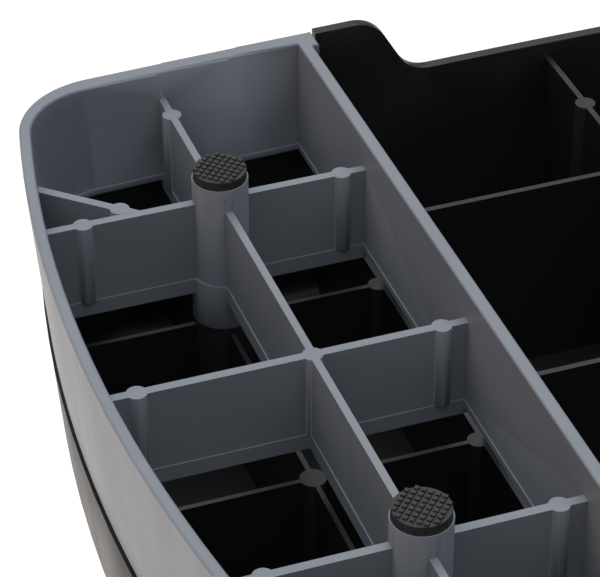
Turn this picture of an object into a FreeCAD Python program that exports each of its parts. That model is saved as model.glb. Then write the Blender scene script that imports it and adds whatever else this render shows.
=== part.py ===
import FreeCAD, Part

import os
import re

import Sketcher

# A two-tone moulded desktop riser, lying upside down on its top panel with its feet up.
# Origin: the middle of the top panel's outer face. X runs along the length, Y across the depth,
# and Z from the top panel towards the feet. Millimetres.

SIZES = [
    # The whole riser
    ("overall_length", 402.4, "end to end of the shell's outline, at the rim level"),
    ("overall_depth", 240.8, "front to back of the shell's outline at mid-length, at the rim level"),
    ("end_bow_radius", 430, "plan radius of the two ends"),
    ("side_bow_radius", 3200, "plan radius of the long sides"),
    ("corner_radius", 24, "plan radius of the four outer corners"),
    ("end_lean", 0.084, "how far an end leans out for each millimetre of height"),
    ("side_lean", 0.055, "how far a long side leans out for each millimetre of height"),
    ("rim_level", 79.5, "top of the walls"),
    ("feet_level", 80.7, "face of the rubber feet"),
    ("working_gap", 0.3, "gap between a plugged block and the shell"),
    # Black top shell
    ("panel_thickness", 2.3, "top panel"),
    ("shell_wall", 2.8, "side walls"),
    ("shell_wall_end", 106.7, "end of the long walls' full height, from mid-length"),
    ("panel_edge_radius", 8, "round between top panel and side walls"),
    ("skirt_level", 35.5, "edge of the shell's ends, under the blocks"),
    ("bridge_rim_level", 63, "lower edge of the long walls between the blocks"),
    ("shoulder_start", 90.5, "corner of the rim's shoulder, from mid-length"),
    ("shoulder_end", 80.6, "foot of the rim's shoulder, from mid-length"),
    ("shoulder_round", 10, "upper round of the shoulder"),
    ("shoulder_hollow", 9, "lower round of the shoulder"),
    ("upstand_inset", 2.4, "outer face of the upstand inside the skirt, from the outline"),
    ("upstand_wall", 1.7, "thickness of the upstand"),
    ("upstand_level", 48.7, "top of the upstand"),
    ("bridge_rib", 1.5, "thickness of the shell's ribs between the blocks"),
    ("low_rib", 1.2, "thickness of the shell's ribs under the blocks"),
    ("low_rib_level", 36.4, "shell ribs under the end blocks"),
    ("bridge_cross_level", 58.7, "ribs across the bridge"),
    ("bridge_outer_level", 55.9, "outer ribs along the bridge"),
    ("bridge_middle_level", 51.9, "middle rib along the bridge"),
    ("bridge_cross_position", 41.3, "ribs across the bridge, from mid-length"),
    ("under_wall_position", 107.2, "shell rib under a block's inner wall"),
    ("under_wall_hub", 108.4, "hubs beside that rib, from mid-length"),
    ("shell_hub", 5.2, "diameter of the round hubs on the shell's ribs"),
    ("middle_hub", 6.3, "diameter of the hub between two posts"),
    ("bridge_hub_position", 92.3, "hub on a bridge cross rib, from mid-depth"),
    ("collar_diameter", 14.6, "collar that a block's post stands on"),
    ("peg_diameter", 9, "peg that plugs into a post"),
    ("peg_level", 52, "top of the pegs"),
    # Grey end blocks
    ("row_pitch", 65, "spacing of the block's ribs across the depth"),
    ("post_line", 149, "line of the posts, from mid-length"),
    ("block_inset", 0.7, "how far a block stands in from the shell's outline"),
    ("seam_level", 36.7, "lower edge of a block's outer wall"),
    ("seam_wall", 1.4, "outer wall below its foot, where the shell's upstand stands inside it"),
    ("rim_round", 0.7, "round on the edges of a block's rim"),
    ("end_wall", 3.6, "from the shell's outline to the cavity, at the ends"),
    ("side_wall", 5.4, "from the shell's outline to the cavity, along the sides"),
    ("cavity_corner", 19, "plan radius of the cavity's end corners"),
    ("block_end", 107.4, "end of a block's side walls, from mid-length"),
    ("inner_wall_outside", 109.1, "inner wall's bridge side, from mid-length"),
    ("recess_half_width", 111, "half width of the inner wall's bridge side, between the side walls"),
    ("inner_wall_inside", 112, "inner wall's cavity side at the rim"),
    ("inner_wall_draft", 0.8, "how much thicker the inner wall is at the ledge"),
    ("rib_level", 72, "top of a block's ribs"),
    ("ledge_level", 50.6, "below this the walls and ribs are thicker"),
    ("wall_foot", 49, "lower edge of a block's walls, inside its outer skin"),
    ("rib_foot", 46.6, "lower edge of a block's ribs"),
    ("ledge_width", 0.35, "how far the thicker lower part stands out"),
    ("spine_rib", 1.8, "rib along the post line"),
    ("cross_rib", 2.2, "ribs across the block"),
    ("boss_diameter", 4.7, "half-round ejector bosses on the ribs"),
    ("boss_inset", 30.6, "bosses beside the inner wall, from the post line"),
    ("end_boss_outer", 33.9, "end boss of an outer rib, from the post line"),
    ("end_boss_middle", 40.5, "end boss of the middle rib, from the post line"),
    ("spine_boss", 38.4, "boss on the spine rib, from an outer rib"),
    ("brace_start", 20, "where a corner brace leaves the outer rib, from the post line"),
    ("brace_angle", 42, "angle between a corner brace and the outer rib"),
    ("brace_length", 34, "from the outer rib into the end wall"),
    ("brace_boss", 5.2, "boss of a corner brace, from its start"),
    ("post_diameter", 13.5, "post that carries a foot"),
    ("post_foot_diameter", 14.6, "post below the ledge"),
    ("post_top", 77.9, "lip round the foot's seat"),
    ("post_foot", 38.2, "where a post stands on its collar"),
    ("bore_top", 54, "blind end of a post's bore"),
    # Rubber feet
    ("foot_diameter", 12.7, "rubber foot"),
    ("foot_seat", 77.1, "floor of the foot's seat in the post"),
    ("foot_edge", 0.3, "chamfer round the foot's face"),
    ("seat_gap", 0.1, "radial room round a foot in its seat"),
    # Construction
    ("overrun", 20, "how far cutting shapes run past what they cut"),
]

doc = FreeCAD.newDocument("desktop_riser")
sheet = doc.addObject("Spreadsheet::Sheet", "sizes")
for row, (alias, value, meaning) in enumerate(SIZES, start=1):
    sheet.set(f"A{row}", alias)
    sheet.set(f"B{row}", str(value))
    sheet.set(f"C{row}", meaning)
    sheet.setAlias(f"B{row}", alias)
doc.recompute()


HALF_TURN = FreeCAD.Rotation(FreeCAD.Vector(0, 0, 1), 180)


# ---- Small helpers. A formula is text in which every word is a cell of the sheet or a function. ----

def size(alias):
    return float(getattr(sheet, alias))


def formula(text):
    return re.sub(r"\b[a-z][a-z_]*\b(?!\()", lambda word: "sizes." + word.group(0), text)


def bind(item, formulas):
    for path, text in formulas.items():
        item.setExpression(path, formula(text))
    return item


def place(item, x, y, z):
    return bind(item, {"Placement.Base.x": x, "Placement.Base.y": y, "Placement.Base.z": z})


def box(name, x, y, z):
    """A box between two formulas on each axis."""
    item = doc.addObject("Part::Box", name)
    spans = {"Length": x, "Width": y, "Height": z}
    bind(item, {side: f"({high}) - ({low})" for side, (low, high) in spans.items()})
    return place(item, x[0], y[0], z[0])


def cylinder(name, x, y, z, diameter):
    item = doc.addObject("Part::Cylinder", name)
    bind(item, {"Radius": f"({diameter}) / 2", "Height": f"({z[1]}) - ({z[0]})"})
    return place(item, x, y, z[0])


def cone(name, x, y, z, low_radius, high_radius):
    item = doc.addObject("Part::Cone", name)
    bind(item, {"Radius1": low_radius, "Radius2": high_radius, "Height": f"({z[1]}) - ({z[0]})"})
    return place(item, x, y, z[0])


def wedge(name, z, x_low, x_high):
    """A slab across the whole depth, with one X span at its low level and another at its high."""
    item = doc.addObject("Part::Wedge", name)
    half = "(overall_depth / 2 + overrun)"
    bind(item, {"Xmin": x_low[0], "Xmax": x_low[1], "X2min": x_high[0], "X2max": x_high[1],
                "Ymin": z[0], "Ymax": z[1], "Zmin": f"-{half}", "Zmax": half,
                "Z2min": f"-{half}", "Z2max": half})
    item.Placement.Rotation = FreeCAD.Rotation(FreeCAD.Vector(1, 0, 0), 90)
    return item


def fuse(name, items):
    item = doc.addObject("Part::MultiFuse", name)
    item.Shapes = items
    return item


def common(name, items):
    item = doc.addObject("Part::MultiCommon", name)
    item.Shapes = items
    return item


def cut(name, base, tool):
    item = doc.addObject("Part::Cut", name)
    item.Base = base
    item.Tool = tool
    return item


def fillet(name, base, radius, wanted):
    """Round every edge of base that the test `wanted` picks."""
    doc.recompute()
    item = doc.addObject("Part::Fillet", name)
    item.Base = base
    edges = enumerate(base.Shape.Edges, start=1)
    item.Edges = [(number, radius, radius) for number, edge in edges if wanted(edge)]
    return item


def is_corner(edge):
    """A corner between an end and a long side, seen in plan."""
    where = edge.BoundBox.Center
    return (abs(where.x) > size("post_line") and abs(where.y) > size("row_pitch")
            and edge.BoundBox.ZLength > max(edge.BoundBox.XLength, edge.BoundBox.YLength))


def is_panel_edge(edge):
    return edge.BoundBox.ZMax < size("panel_thickness") + 0.01


def is_rim_edge(edge):
    return edge.BoundBox.ZMin > size("rim_level") - 0.01


def bowed_solid(name, z, end_inset, side_inset, corner, upright_from=None):
    """The riser's plan between two levels: four bowed sides, each a wide cone, and round corners.

    The insets are measured in from the outline of the same level, which shrinks towards the panel,
    or from the outline of the level `upright_from`, which makes the sides upright.
    """
    depths = [f"(rim_level - ({upright_from or level}))" for level in z]
    sides = []
    for sign, hand in ((1, "left"), (-1, "right")):
        centre = f"{sign} * (end_bow_radius - overall_length / 2)"
        radii = [f"end_bow_radius - ({end_inset}) - end_lean * {depth}" for depth in depths]
        sides.append(cone(f"{name}_{hand}", centre, "0", z, *radii))
    for sign, hand in ((1, "front"), (-1, "back")):
        centre = f"{sign} * (side_bow_radius - overall_depth / 2)"
        radii = [f"side_bow_radius - ({side_inset}) - side_lean * {depth}" for depth in depths]
        sides.append(cone(f"{name}_{hand}", "0", centre, z, *radii))
    plan = common(f"{name}_plan", sides)
    return fillet(f"{name}_solid", plan, corner, is_corner)


# ---- Rubber feet: a plain disc with a chamfered face ----

def rubber_foot(name, x_sign, y_sign):
    body = doc.addObject("PartDesign::Body", name)
    sketch = body.newObject("Sketcher::SketchObject", f"{name}_sketch")
    plane = [part for part in body.Origin.OriginFeatures if part.Role == "XY_Plane"][0]
    sketch.AttachmentSupport = [(plane, "")]
    sketch.MapMode = "FlatFace"
    circle = Part.Circle(FreeCAD.Vector(0, 0, 0), FreeCAD.Vector(0, 0, 1), size("foot_diameter") / 2)
    sketch.addGeometry(circle)
    sketch.addConstraint(Sketcher.Constraint("Coincident", 0, 3, -1, 1))
    radius = sketch.addConstraint(Sketcher.Constraint("Radius", 0, size("foot_diameter") / 2))
    sketch.setExpression(f"Constraints[{radius}]", formula("foot_diameter / 2"))
    disc = body.newObject("PartDesign::Pad", f"{name}_disc")
    disc.Profile = sketch
    bind(disc, {"Length": "feet_level - foot_seat"})
    doc.recompute()
    height = size("feet_level") - size("foot_seat")
    face_edge = [f"Edge{number}" for number, edge in enumerate(disc.Shape.Edges, start=1)
                 if edge.BoundBox.ZMin > height - 0.01]
    edge = body.newObject("PartDesign::Chamfer", f"{name}_edge")
    edge.Base = (disc, face_edge)
    bind(edge, {"Size": "foot_edge"})
    body.Tip = edge
    return place(body, f"{x_sign} * post_line", f"{y_sign} * row_pitch", "foot_seat")


# ---- Grey end block: one moulding, used at both ends ----

def rib_pair(name, x, y, thick_axis):
    """A rib and its thicker lower part, between two formulas on each axis."""
    upper = box(f"{name}_upper", x, y, ("ledge_level", "rib_level"))
    wider = {"x": x, "y": y}
    low, high = wider[thick_axis]
    wider[thick_axis] = (f"{low} - ledge_width", f"{high} + ledge_width")
    lower = box(f"{name}_lower", wider["x"], wider["y"], ("rib_foot", "ledge_level"))
    return [upper, lower]


def brace_slab(name, half_width, z):
    """The slanting slab of the corner brace, from the back cross rib into the end wall."""
    item = doc.addObject("Part::Box", name)
    item.Placement.Rotation = FreeCAD.Rotation(FreeCAD.Vector(0, 0, 1), 180 - size("brace_angle"))
    bind(item, {"Length": "brace_length", "Width": f"2 * ({half_width})", "Height": f"({z[1]}) - ({z[0]})"})
    return place(item, f"-post_line - brace_start + ({half_width}) * sin(brace_angle)",
                 f"row_pitch + ({half_width}) * cos(brace_angle)", z[0])


def corner_brace(name):
    """The short slanting rib in one outer corner, with a boss near its start."""
    boss_x = "-post_line - brace_start - brace_boss * cos(brace_angle)"
    boss_y = "row_pitch + brace_boss * sin(brace_angle)"
    return [brace_slab(f"{name}_upper", "cross_rib / 2", ("ledge_level", "rib_level")),
            brace_slab(f"{name}_lower", "cross_rib / 2 + ledge_width", ("rib_foot", "ledge_level")),
            cylinder(f"{name}_boss", boss_x, boss_y, ("ledge_level", "rib_level"), "boss_diameter")]


def end_block_ribs(name):
    inside = ("-overall_length / 2", "-inner_wall_outside - ledge_width")
    pieces = rib_pair(f"{name}_spine", ("-post_line - spine_rib / 2", "-post_line + spine_rib / 2"),
                      ("-overall_depth / 2", "overall_depth / 2"), "x")
    for row in (-1, 0, 1):
        middle = f"{row} * row_pitch"
        label = ("front", "middle", "back")[row + 1]
        pieces += rib_pair(f"{name}_{label}_rib", inside,
                           (f"{middle} - cross_rib / 2", f"{middle} + cross_rib / 2"), "y")
        end_boss = "end_boss_outer" if row else "end_boss_middle"
        places = {"inner": "-post_line + boss_inset", "end": f"-post_line - {end_boss}"}
        if row == 0:
            places["hub"] = "-post_line"
        for spot, x in places.items():
            pieces.append(cylinder(f"{name}_{label}_{spot}_boss", x, middle,
                                   ("ledge_level", "rib_level"), "boss_diameter"))
    for y_sign, label in ((-1, "front"), (1, "back")):
        y = f"{y_sign} * (row_pitch + spine_boss)"
        pieces.append(cylinder(f"{name}_{label}_spine_boss", "-post_line", y,
                               ("ledge_level", "rib_level"), "boss_diameter"))
    pieces += corner_brace(f"{name}_brace")
    middle_of_wall = "block_inset + seam_wall / 2"
    limit = bowed_solid(f"{name}_rib_limit", ("rib_foot", "rib_level"), middle_of_wall, middle_of_wall,
                        size("corner_radius") - size("block_inset"))
    return common(f"{name}_trimmed_ribs", [fuse(f"{name}_ribs", pieces), limit])


def cavity_prism(name, z, near_low, near_high):
    """Everything on the end side of the inner wall's cavity face, between two levels."""
    far = "-overall_length / 2 - overrun"
    return wedge(name, z, (far, f"-({near_low})"), (far, f"-({near_high})"))


def end_block_walls(name):
    """The bowed outer wall and the inner wall, round one cavity that is open at both levels."""
    corner = size("cavity_corner")
    skin_corner = size("corner_radius") - size("block_inset")
    outside = common(f"{name}_outside", [
        bowed_solid(f"{name}_bowed", ("seam_level", "rim_level"), "block_inset", "block_inset", skin_corner),
        box(f"{name}_side", ("-overall_length / 2 - overrun", "-block_end"),
            ("-overall_depth / 2", "overall_depth / 2"), ("seam_level", "rim_level"))])
    above_ledge = ("ledge_level", "rim_level + overrun")
    below_ledge = ("seam_level - overrun", "ledge_level")
    below_foot = ("seam_level - overrun", "wall_foot")
    thick_inner = "inner_wall_inside + inner_wall_draft + ledge_width"
    skin = "block_inset + seam_wall"
    upper = common(f"{name}_upper_cavity", [
        bowed_solid(f"{name}_upper", above_ledge, "end_wall", "side_wall", corner),
        cavity_prism(f"{name}_upper_prism", above_ledge, "inner_wall_inside + inner_wall_draft",
                     "inner_wall_inside")])
    lower = common(f"{name}_lower_cavity", [
        bowed_solid(f"{name}_lower", below_ledge, "end_wall + ledge_width", "side_wall + ledge_width",
                    corner),
        cavity_prism(f"{name}_lower_prism", below_ledge, thick_inner, thick_inner)])
    base = bowed_solid(f"{name}_base", below_foot, skin, skin, skin_corner - size("seam_wall"))
    recess = box(f"{name}_recess", ("-inner_wall_outside", "-block_end + overrun"),
                 ("-recess_half_width", "recess_half_width"),
                 ("seam_level - overrun", "rim_level + overrun"))
    walls = cut(f"{name}_walls", outside, fuse(f"{name}_cavity", [upper, lower, base, recess]))
    return fillet(f"{name}_rim", walls, size("rim_round"), is_rim_edge)


def end_block(name):
    pieces = [end_block_walls(name), end_block_ribs(name)]
    hollows = []
    for y_sign, label in ((-1, "front"), (1, "back")):
        y = f"{y_sign} * row_pitch"
        pieces.append(cylinder(f"{name}_{label}_post", "-post_line", y,
                               ("ledge_level", "post_top"), "post_diameter"))
        pieces.append(cylinder(f"{name}_{label}_post_foot", "-post_line", y,
                               ("post_foot", "ledge_level"), "post_foot_diameter"))
        hollows.append(cylinder(f"{name}_{label}_seat", "-post_line", y,
                                ("foot_seat", "post_top + overrun"), "foot_diameter + 2 * seat_gap"))
        hollows.append(cylinder(f"{name}_{label}_bore", "-post_line", y,
                                ("post_foot - overrun", "bore_top"),
                                "peg_diameter + 2 * working_gap"))
    solid = fuse(f"{name}_solid", pieces)
    return cut(name, solid, fuse(f"{name}_hollows", hollows))


# ---- Black top shell ----

def above_rim():
    """What lies above the shell's rim: low skirts at the ends, and a dip with round shoulders."""
    across = ("-overall_depth / 2 - overrun", "overall_depth / 2 + overrun")
    top = "rim_level + overrun"
    far = "overall_length / 2 + overrun"
    space = fuse("space_above_rim", [
        box("above_walls", (f"-({far})", far), across, ("rim_level", top)),
        box("above_left_skirt", (f"-({far})", "-shell_wall_end"), across, ("skirt_level", top)),
        box("above_right_skirt", ("shell_wall_end", far), across, ("skirt_level", top)),
        wedge("above_bridge", ("bridge_rim_level", "rim_level"),
              ("-shoulder_end", "shoulder_end"), ("-shoulder_start", "shoulder_start"))])
    space.Refine = True
    rounded = fillet("shoulder_rounds", space, size("shoulder_round"),
                     lambda edge: is_shoulder(edge, "shoulder_start", "rim_level"))
    return fillet("shoulder_hollows", rounded, size("shoulder_hollow"),
                  lambda edge: is_shoulder(edge, "shoulder_end", "bridge_rim_level"))


def is_shoulder(edge, across, level):
    """An edge that runs front to back at one place of the shoulder's profile."""
    room = edge.BoundBox
    return (room.YLength > size("overall_depth") and room.XLength < 0.01
            and abs(abs(room.Center.x) - size(across)) < 0.01
            and abs(room.Center.z - size(level)) < 0.01)


def shell_volume(name, low, inset, corner, edge_radius):
    """The shell's plan from one level up past the rim, with its lower edge rounded."""
    upright = bowed_solid(name, (low, "rim_level + overrun / 2"), inset, inset, corner)
    return fillet(f"{name}_rounded", upright, edge_radius, is_panel_edge)


def shell_ribs():
    bottom = "panel_thickness / 2"
    wall_end = "shell_wall_end"
    far = "overall_length / 2"
    across = ("-overall_depth / 2", "overall_depth / 2")
    pieces = []
    for row, label in ((-1, "front"), (0, "middle"), (1, "back")):
        y = f"{row} * row_pitch"
        bridge_level = "bridge_outer_level" if row else "bridge_middle_level"
        pieces.append(box(f"shell_{label}_low_rib", (f"-{far}", far),
                          (f"{y} - low_rib / 2", f"{y} + low_rib / 2"), (bottom, "low_rib_level")))
        pieces.append(box(f"shell_{label}_bridge_rib", (f"-{wall_end}", wall_end),
                          (f"{y} - bridge_rib / 2", f"{y} + bridge_rib / 2"), (bottom, bridge_level)))
    lines = (("post", "post_line", "post_line", "low_rib", "low_rib_level"),
             ("wall", "under_wall_position", "under_wall_hub", "bridge_rib", "low_rib_level"),
             ("bridge", "bridge_cross_position", "bridge_cross_position", "bridge_rib",
              "bridge_cross_level"))
    for sign, hand in ((-1, "left"), (1, "right")):
        for label, line, hub_line, thickness, level in lines:
            x = f"{sign} * {line}"
            span = (f"{x} - {thickness} / 2", f"{x} + {thickness} / 2")
            pieces.append(box(f"shell_{hand}_{label}_rib", span, across, (bottom, level)))
            for row in (-1, 0, 1):
                hub = "middle_hub" if label == "post" and row == 0 else "shell_hub"
                pieces.append(cylinder(f"shell_{hand}_{label}_hub_{row + 1}", f"{sign} * {hub_line}",
                                       f"{row} * row_pitch", (bottom, level), hub))
        for y_sign in (-1, 1):
            pieces.append(cylinder(f"shell_{hand}_cross_hub_{y_sign + 1}",
                                   f"{sign} * bridge_cross_position", f"{y_sign} * bridge_hub_position",
                                   (bottom, "bridge_cross_level"), "shell_hub"))
    return fuse("shell_ribs", pieces)


def shell_pegs():
    pieces = []
    for x_sign in (-1, 1):
        for y_sign in (-1, 1):
            x = f"{x_sign} * post_line"
            y = f"{y_sign} * row_pitch"
            label = f"{x_sign + 1}_{y_sign + 1}"
            pieces.append(cylinder(f"collar_{label}", x, y, ("panel_thickness / 2", "post_foot"),
                                   "collar_diameter"))
            pieces.append(cylinder(f"peg_{label}", x, y, ("panel_thickness / 2", "peg_level"),
                                   "peg_diameter"))
    return pieces


def end_upstand(name):
    """The wall inside the left skirt that the block's outer wall drops over, slotted for its ribs."""
    inset = size("upstand_inset")
    corner = size("corner_radius") - inset
    levels = ("skirt_level - overrun / 4", "upstand_level")
    cut_levels = ("skirt_level - overrun", "upstand_level + overrun")
    thick = "upstand_inset + upstand_wall"
    ring = cut(f"{name}_ring",
               bowed_solid(f"{name}_outside", levels, "upstand_inset", "upstand_inset", corner,
                           "skirt_level"),
               bowed_solid(f"{name}_inside", cut_levels, thick, thick, corner - size("upstand_wall"),
                           "skirt_level"))
    end = box(f"{name}_end", ("-overall_length / 2", "-block_end"),
              ("-overall_depth / 2", "overall_depth / 2"), levels)
    slot_levels = ("rib_foot - working_gap", "upstand_level + overrun")
    half_slot = "cross_rib / 2 + ledge_width + working_gap"
    half_spine = "(spine_rib / 2 + ledge_width + working_gap)"
    slots = [box(f"{name}_spine_slot", (f"-post_line - {half_spine}", f"-post_line + {half_spine}"),
                 ("-overall_depth / 2", "overall_depth / 2"), slot_levels),
             brace_slab(f"{name}_brace_slot", half_slot, slot_levels)]
    for row in (-1, 0, 1):
        y = f"{row} * row_pitch"
        slots.append(box(f"{name}_slot_{row + 1}", ("-overall_length / 2", "-post_line"),
                         (f"{y} - ({half_slot})", f"{y} + {half_slot}"), slot_levels))
    return cut(name, common(f"{name}_wall", [ring, end]), fuse(f"{name}_slots", slots))


def top_shell(name):
    wall = size("shell_wall")
    corner = size("corner_radius")
    edge = size("panel_edge_radius")
    outside = shell_volume("shell_outside", "0", "0", corner, edge)
    middle = shell_volume("shell_middle", "panel_thickness / 2", "shell_wall / 2",
                          corner - wall / 2, edge - wall / 2)
    inside = shell_volume("shell_inside", "panel_thickness", "shell_wall", corner - wall, edge - wall)
    walls = cut("shell_walls", cut("shell_hollow", outside, inside), above_rim())
    ribs = common("shell_trimmed_ribs", [shell_ribs(), middle])
    right_upstand = end_upstand("right_upstand")
    right_upstand.Placement.Rotation = HALF_TURN
    return fuse(name, [walls, ribs, end_upstand("left_upstand"), right_upstand] + shell_pegs())


# ---- The assembly: each piece's label names its file ----

top_shell("top_shell")
end_block("left_end_block")
right = end_block("right_end_block")
right.Placement.Rotation = HALF_TURN
pieces = ["top_shell", "left_end_block", "right_end_block"]
for x_sign, hand in ((-1, "left"), (1, "right")):
    for y_sign, side in ((-1, "front"), (1, "back")):
        foot = f"foot_{hand}_{side}"
        rubber_foot(foot, x_sign, y_sign)
        pieces.append(foot)
doc.recompute()

failed = [item.Name for item in doc.Objects if {"Invalid", "Error"} & set(item.State)]
if failed:
    raise RuntimeError(f"not built: {failed}")

os.makedirs("parts", exist_ok=True)
for name in pieces:
    piece = doc.getObject(name)
    piece.Label = name
    if piece.Shape.isNull() or not piece.Shape.isValid():
        raise RuntimeError(f"{name} has no valid shape")
    piece.Shape.exportStep(f"parts/{name}.step")
    room = piece.Shape.optimalBoundingBox()
    print(f"{name}: {len(piece.Shape.Solids)} solid, {piece.Shape.Volume / 1000:.1f} cm3, "
          f"X {room.XMin:.2f} {room.XMax:.2f}, Y {room.YMin:.2f} {room.YMax:.2f}, "
          f"Z {room.ZMin:.2f} {room.ZMax:.2f}")
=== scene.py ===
import math

import bmesh
import bpy
from mathutils import Matrix, Vector


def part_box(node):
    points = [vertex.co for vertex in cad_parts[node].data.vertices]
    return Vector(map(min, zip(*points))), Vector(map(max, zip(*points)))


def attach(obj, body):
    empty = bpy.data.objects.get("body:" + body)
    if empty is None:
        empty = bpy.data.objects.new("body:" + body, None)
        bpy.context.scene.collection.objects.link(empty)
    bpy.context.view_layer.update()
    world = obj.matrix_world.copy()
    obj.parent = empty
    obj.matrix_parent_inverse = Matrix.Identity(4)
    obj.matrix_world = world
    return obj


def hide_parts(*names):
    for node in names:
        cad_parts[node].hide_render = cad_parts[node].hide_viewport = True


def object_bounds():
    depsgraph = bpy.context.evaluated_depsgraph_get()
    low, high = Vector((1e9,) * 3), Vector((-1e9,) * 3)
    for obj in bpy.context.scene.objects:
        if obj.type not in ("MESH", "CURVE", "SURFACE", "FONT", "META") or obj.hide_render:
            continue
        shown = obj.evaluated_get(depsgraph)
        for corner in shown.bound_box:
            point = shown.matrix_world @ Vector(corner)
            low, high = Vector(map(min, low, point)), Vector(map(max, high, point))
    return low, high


# The looks of a two-tone desktop riser that lies upside down on its top panel.
# Everything is in metres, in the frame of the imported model: X along the length, Y across the depth.

MM = 0.001

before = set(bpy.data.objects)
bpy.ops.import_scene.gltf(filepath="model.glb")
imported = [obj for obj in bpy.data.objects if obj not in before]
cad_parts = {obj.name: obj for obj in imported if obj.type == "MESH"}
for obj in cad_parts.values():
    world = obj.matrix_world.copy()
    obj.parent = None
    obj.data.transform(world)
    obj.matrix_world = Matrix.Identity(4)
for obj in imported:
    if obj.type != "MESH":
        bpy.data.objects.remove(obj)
cad_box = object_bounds()


# ---- Node helpers ----

def new_material(name):
    material = bpy.data.materials.new(name)
    material.use_nodes = True
    nodes = material.node_tree.nodes
    return material, nodes, material.node_tree.links, nodes["Principled BSDF"]


def noise(nodes, links, coordinates, scale, detail, roughness=0.5):
    node = nodes.new("ShaderNodeTexNoise")
    node.inputs["Scale"].default_value = scale
    node.inputs["Detail"].default_value = detail
    node.inputs["Roughness"].default_value = roughness
    links.new(coordinates, node.inputs["Vector"])
    return node.outputs["Fac"]


def stretched(nodes, links, coordinates, scale):
    """Coordinates scaled by a different amount on each axis."""
    node = nodes.new("ShaderNodeMapping")
    node.inputs["Scale"].default_value = scale
    links.new(coordinates, node.inputs["Vector"])
    return node.outputs["Vector"]


def remap(nodes, links, value, source, target):
    node = nodes.new("ShaderNodeMapRange")
    node.inputs["From Min"].default_value = source[0]
    node.inputs["From Max"].default_value = source[1]
    node.inputs["To Min"].default_value = target[0]
    node.inputs["To Max"].default_value = target[1]
    links.new(value, node.inputs["Value"])
    return node.outputs["Result"]


def blend_colours(nodes, links, factor, first, second):
    """first and second are each a colour or an output socket."""
    node = nodes.new("ShaderNodeMix")
    node.data_type = "RGBA"
    links.new(factor, node.inputs["Factor"])
    for socket, colour in ((node.inputs[6], first), (node.inputs[7], second)):
        if isinstance(colour, tuple):
            socket.default_value = (*colour, 1)
        else:
            links.new(colour, socket)
    return node.outputs[2]


def add_bump(nodes, links, shader, height, distance, strength=1.0):
    node = nodes.new("ShaderNodeBump")
    node.inputs["Distance"].default_value = distance
    node.inputs["Strength"].default_value = strength
    links.new(height, node.inputs["Height"])
    links.new(node.outputs["Normal"], shader.inputs["Normal"])


# ---- Materials ----

# Noise scales, in cells per metre.
DRIFT_SCALE = 14
PATCH_SCALE = 22
MARK_SCALE = 330
DUST_SCALE = 900
GRAIN_SCALE = 1600
STREAK_SCALE = (60, 60, 9)
MOTTLE_SCALE = 700
RUBBER_GRAIN_SCALE = 3500

# Noise values between which a speck fades in: the higher they are, the sparser the specks.
DUST_EDGE = (0.62, 0.74)
MARK_EDGE = (0.72, 0.75)

MARK_COLOUR = (0.035, 0.022, 0.016)
PLASTIC_IOR = 1.5


def specks(nodes, links, place, scale, edge, amount):
    """Sparse small spots, gathered in patches."""
    spots = remap(nodes, links, noise(nodes, links, place, scale, 2, 0.6), edge, (0, 1))
    gathering = noise(nodes, links, place, PATCH_SCALE, 4, 0.65)
    patches = remap(nodes, links, gathering, (0.5, 0.8), (0, amount))
    both = nodes.new("ShaderNodeMath")
    both.operation = "MULTIPLY"
    links.new(spots, both.inputs[0])
    links.new(patches, both.inputs[1])
    return both.outputs[0]


def moulded_plastic(name, colour, tint, roughness, gloss, grain_depth, dust_colour, dust_amount):
    """Injection-moulded plastic: slow colour drift, flow streaks, fine grain, dust and marks."""
    material, nodes, links, shader = new_material(name)
    place = nodes.new("ShaderNodeTexCoord").outputs["Object"]
    drift = remap(nodes, links, noise(nodes, links, place, DRIFT_SCALE, 3), (0.35, 0.65), (0, 1))
    body = blend_colours(nodes, links, drift, colour, tint)
    dust = specks(nodes, links, place, DUST_SCALE, DUST_EDGE, dust_amount)
    dusty = blend_colours(nodes, links, dust, body, dust_colour)
    marks = specks(nodes, links, place, MARK_SCALE, MARK_EDGE, 1)
    marked = blend_colours(nodes, links, marks, dusty, MARK_COLOUR)
    links.new(marked, shader.inputs["Base Color"])
    streaks = noise(nodes, links, stretched(nodes, links, place, STREAK_SCALE), 1, 4, 0.6)
    polish = remap(nodes, links, streaks, (0.3, 0.7), (roughness - 0.05, roughness + 0.07))
    links.new(polish, shader.inputs["Roughness"])
    grain = noise(nodes, links, place, GRAIN_SCALE, 3, 0.55)
    add_bump(nodes, links, shader, grain, grain_depth)
    shader.inputs["IOR"].default_value = PLASTIC_IOR
    shader.inputs["Specular IOR Level"].default_value = gloss
    return material


def foot_rubber():
    """Dark, dull rubber with a fine mottle."""
    material, nodes, links, shader = new_material("foot_rubber")
    place = nodes.new("ShaderNodeTexCoord").outputs["Object"]
    mottle = remap(nodes, links, noise(nodes, links, place, MOTTLE_SCALE, 4, 0.6), (0.35, 0.7), (0, 1))
    wear = blend_colours(nodes, links, mottle, (0.026, 0.023, 0.021), (0.048, 0.043, 0.039))
    links.new(wear, shader.inputs["Base Color"])
    rough = remap(nodes, links, mottle, (0, 1), (0.55, 0.7))
    links.new(rough, shader.inputs["Roughness"])
    add_bump(nodes, links, shader, noise(nodes, links, place, RUBBER_GRAIN_SCALE, 3), 0.03 * MM)
    shader.inputs["Specular IOR Level"].default_value = 0.35
    return material


GREY = moulded_plastic(
    "grey_plastic", colour=(0.2, 0.205, 0.225), tint=(0.222, 0.226, 0.243), roughness=0.42, gloss=0.28,
    grain_depth=0.012 * MM, dust_colour=(0.42, 0.41, 0.39), dust_amount=0.4)
BLACK = moulded_plastic(
    "black_plastic", colour=(0.0115, 0.0105, 0.0112), tint=(0.014, 0.0125, 0.0125), roughness=0.42,
    gloss=0.32, grain_depth=0.008 * MM, dust_colour=(0.16, 0.15, 0.14), dust_amount=0.35)
RUBBER = foot_rubber()

# ---- Moulded shells: the CAD nodes, with softened edges ----

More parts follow.
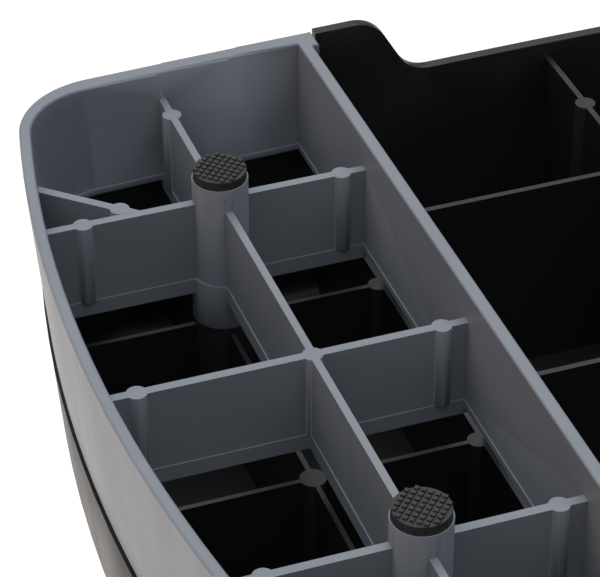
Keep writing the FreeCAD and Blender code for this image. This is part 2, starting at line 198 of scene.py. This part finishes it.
SHARP_EDGE = math.radians(38)
WELD_DISTANCE = 0.002 * MM
EDGE_SEGMENTS = 2
SHELL_EDGE = 0.2 * MM
BLOCK_EDGE = 0.3 * MM


def soften_edges(node, width):
    """Merges the doubled vertices of the imported mesh, then rounds its sharp edges a little."""
    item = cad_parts[node]
    weld = item.modifiers.new("weld", "WELD")
    weld.merge_threshold = WELD_DISTANCE
    bevel = item.modifiers.new("edge_rounding", "BEVEL")
    bevel.limit_method = "ANGLE"
    bevel.angle_limit = SHARP_EDGE
    bevel.width = width
    bevel.segments = EDGE_SEGMENTS
    bevel.use_clamp_overlap = True
    bevel.harden_normals = True
    return item


def finish_node(node, material, edge_width):
    item = soften_edges(node, edge_width)
    item.data.materials.clear()
    item.data.materials.append(material)


finish_node("top_shell", BLACK, SHELL_EDGE)
finish_node("left_end_block", GREY, BLOCK_EDGE)
finish_node("right_end_block", GREY, BLOCK_EDGE)


# ---- Rubber feet: a disc with a raised stud pattern ----

# The pitch is between neighbours along a diagonal row. The widths are across the flats of a stud.
STUD_PITCH = 1.58 * MM
STUD_FOOT = 1.12 * MM
STUD_TOP = 0.92 * MM
STUD_HEIGHT = 0.5 * MM
STUD_ROOT = 0.1 * MM
FOOT_ROUND = 0.2 * MM
FOOT_SIDES = 96


def ring(mesh, centre, radius, height):
    angles = [2 * math.pi * step / FOOT_SIDES for step in range(FOOT_SIDES)]
    return [mesh.verts.new((centre.x + radius * math.cos(a), centre.y + radius * math.sin(a), height))
            for a in angles]


def join_rings(mesh, low, high):
    count = len(low)
    for step in range(count):
        follow = (step + 1) % count
        mesh.faces.new((low[step], low[follow], high[follow], high[step]))


def stud(mesh, x, y, base, top):
    """A small square frustum with its sides at 45 degrees to X."""
    corners = []
    for size, height in ((STUD_FOOT, base), (STUD_TOP, top)):
        reach = size / math.sqrt(2)
        corners.append([mesh.verts.new((x + dx * reach, y + dy * reach, height))
                        for dx, dy in ((1, 0), (0, 1), (-1, 0), (0, -1))])
    join_rings(mesh, *corners)
    mesh.faces.new(corners[1])
    mesh.faces.new(list(reversed(corners[0])))


def foot_disc(mesh, centre, radius, base, top):
    """A flat disc with a chamfered lower edge and a round upper edge."""
    profile = [(radius - FOOT_ROUND, base), (radius, base + FOOT_ROUND), (radius, top - FOOT_ROUND)]
    for degrees in (30, 60, 90):
        turn = math.radians(degrees)
        profile.append((radius - FOOT_ROUND * (1 - math.cos(turn)),
                        top - FOOT_ROUND * (1 - math.sin(turn))))
    rings = [ring(mesh, centre, *point) for point in profile]
    for first, second in zip(rings, rings[1:]):
        join_rings(mesh, first, second)
    mesh.faces.new(list(reversed(rings[0])))
    mesh.faces.new(rings[-1])


def stud_field(mesh, centre, radius, floor, top):
    """Studs in diagonal rows, as far out as they fit whole."""
    step = STUD_PITCH / math.sqrt(2)
    reach = int(radius / step) + 1
    limit = radius - STUD_FOOT / 2
    for column in range(-reach, reach + 1):
        for row in range(-reach, reach + 1):
            if (column + row) % 2 == 0 and math.hypot(column * step, row * step) < limit:
                stud(mesh, centre.x + column * step, centre.y + row * step, floor - STUD_ROOT, top)


def rubber_foot(node, body):
    low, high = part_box(node)
    centre = (low + high) / 2
    radius = (high.x - low.x) / 2
    floor = high.z - STUD_HEIGHT
    mesh = bmesh.new()
    foot_disc(mesh, centre, radius, low.z, floor)
    stud_field(mesh, centre, radius, floor, high.z)
    data = bpy.data.meshes.new(node + "_studded")
    mesh.to_mesh(data)
    mesh.free()
    for face in data.polygons:
        face.use_smooth = False
    item = bpy.data.objects.new(node + "_studded", data)
    bpy.context.scene.collection.objects.link(item)
    data.materials.append(RUBBER)
    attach(item, body)
    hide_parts(node)


for hand in ("left", "right"):
    for side in ("front", "back"):
        rubber_foot(f"foot_{hand}_{side}", f"{hand}_block")


# ---- Floor, light and camera ----

FLOOR_REACH = 4.0
FLOOR_COLOUR = (0.1, 0.1, 0.1, 1)
FLOOR_GLOW = (1, 0.95, 0.91, 1)
FLOOR_GLOW_STRENGTH = 1.08


def studio_floor():
    """White paper that glows, so that the ground stays white around a dark object."""
    low, _ = cad_box
    data = bpy.data.meshes.new("floor")
    corners = [(x * FLOOR_REACH, y * FLOOR_REACH, low[2])
               for x, y in ((-1, -1), (1, -1), (1, 1), (-1, 1))]
    data.from_pydata(corners, [], [(0, 1, 2, 3)])
    item = bpy.data.objects.new("floor", data)
    bpy.context.scene.collection.objects.link(item)
    material, nodes, links, shader = new_material("floor_paper")
    shader.inputs["Base Color"].default_value = FLOOR_COLOUR
    shader.inputs["Roughness"].default_value = 1
    shader.inputs["Specular IOR Level"].default_value = 0
    shader.inputs["Emission Color"].default_value = FLOOR_GLOW
    shader.inputs["Emission Strength"].default_value = FLOOR_GLOW_STRENGTH
    data.materials.append(material)


LIGHT_AIM = Vector((-0.1, 0.05, 0))
RIM_AIM = Vector((-0.1, 0.05, 0.06))
LEFT_AIM = Vector((-0.15, 0, 0.06))
SKY_COLOUR = (0.82, 0.92, 1, 1)
# The sky is dim up to the first height of its direction and bright from the second height up.
SKY_HEIGHTS = (0.45, 0.95)
SKY_STRENGTHS = (0.08, 1.8)


def area_light(name, place, aim, size, power, colour):
    light = bpy.data.lights.new(name, "AREA")
    light.shape = "RECTANGLE"
    light.size, light.size_y = size
    light.energy = power
    light.color = colour
    item = bpy.data.objects.new(name, light)
    item.location = place
    item.rotation_euler = (aim - Vector(place)).to_track_quat("-Z", "Y").to_euler()
    bpy.context.scene.collection.objects.link(item)


def studio_sky():
    """A bluish sky that is brightest straight above."""
    world = bpy.data.worlds.new("studio")
    world.use_nodes = True
    nodes, links = world.node_tree.nodes, world.node_tree.links
    background = nodes["Background"]
    background.inputs["Color"].default_value = SKY_COLOUR
    height = nodes.new("ShaderNodeSeparateXYZ")
    links.new(nodes.new("ShaderNodeTexCoord").outputs["Generated"], height.inputs["Vector"])
    strength = remap(nodes, links, height.outputs["Z"], SKY_HEIGHTS, SKY_STRENGTHS)
    links.new(strength, background.inputs["Strength"])
    bpy.context.scene.world = world


def studio_light():
    studio_sky()
    area_light("overhead", place=(-0.1, 0.8, 1.6), aim=LIGHT_AIM, size=(1.6, 1.6), power=7,
               colour=(0.98, 0.98, 1))
    area_light("back_glow", place=(0.25, 1.1, 0.75), aim=RIM_AIM, size=(1.2, 0.7), power=2,
               colour=(1, 0.98, 0.95))
    area_light("left_fill", place=(-1.5, -0.3, 0.5), aim=LEFT_AIM, size=(0.9, 0.6), power=3.5,
               colour=(1, 0.76, 0.64))
    bpy.context.scene.view_settings.view_transform = "Standard"


AIM = Vector((-0.1435, 0.0239, 0.072))
DISTANCE = 0.6483
AZIMUTH = math.radians(-19.37)
ELEVATION = math.radians(36.24)
ROLL = math.radians(-0.3)
LENS = 171.3
SENSOR_WIDTH = 36


def photo_camera():
    """A long lens from the left front, well above the rim."""
    back = Vector((math.sin(AZIMUTH) * math.cos(ELEVATION), -math.cos(AZIMUTH) * math.cos(ELEVATION),
                   math.sin(ELEVATION)))
    camera = bpy.data.cameras.new("camera")
    camera.lens = LENS
    camera.sensor_width = SENSOR_WIDTH
    camera.clip_start = 0.05
    item = bpy.data.objects.new("camera", camera)
    turn = back.to_track_quat("Z", "Y").to_matrix() @ Matrix.Rotation(ROLL, 3, "Z")
    item.matrix_world = Matrix.Translation(AIM + back * DISTANCE) @ turn.to_4x4()
    bpy.context.scene.collection.objects.link(item)
    bpy.context.scene.camera = item


studio_floor()
studio_light()
photo_camera()
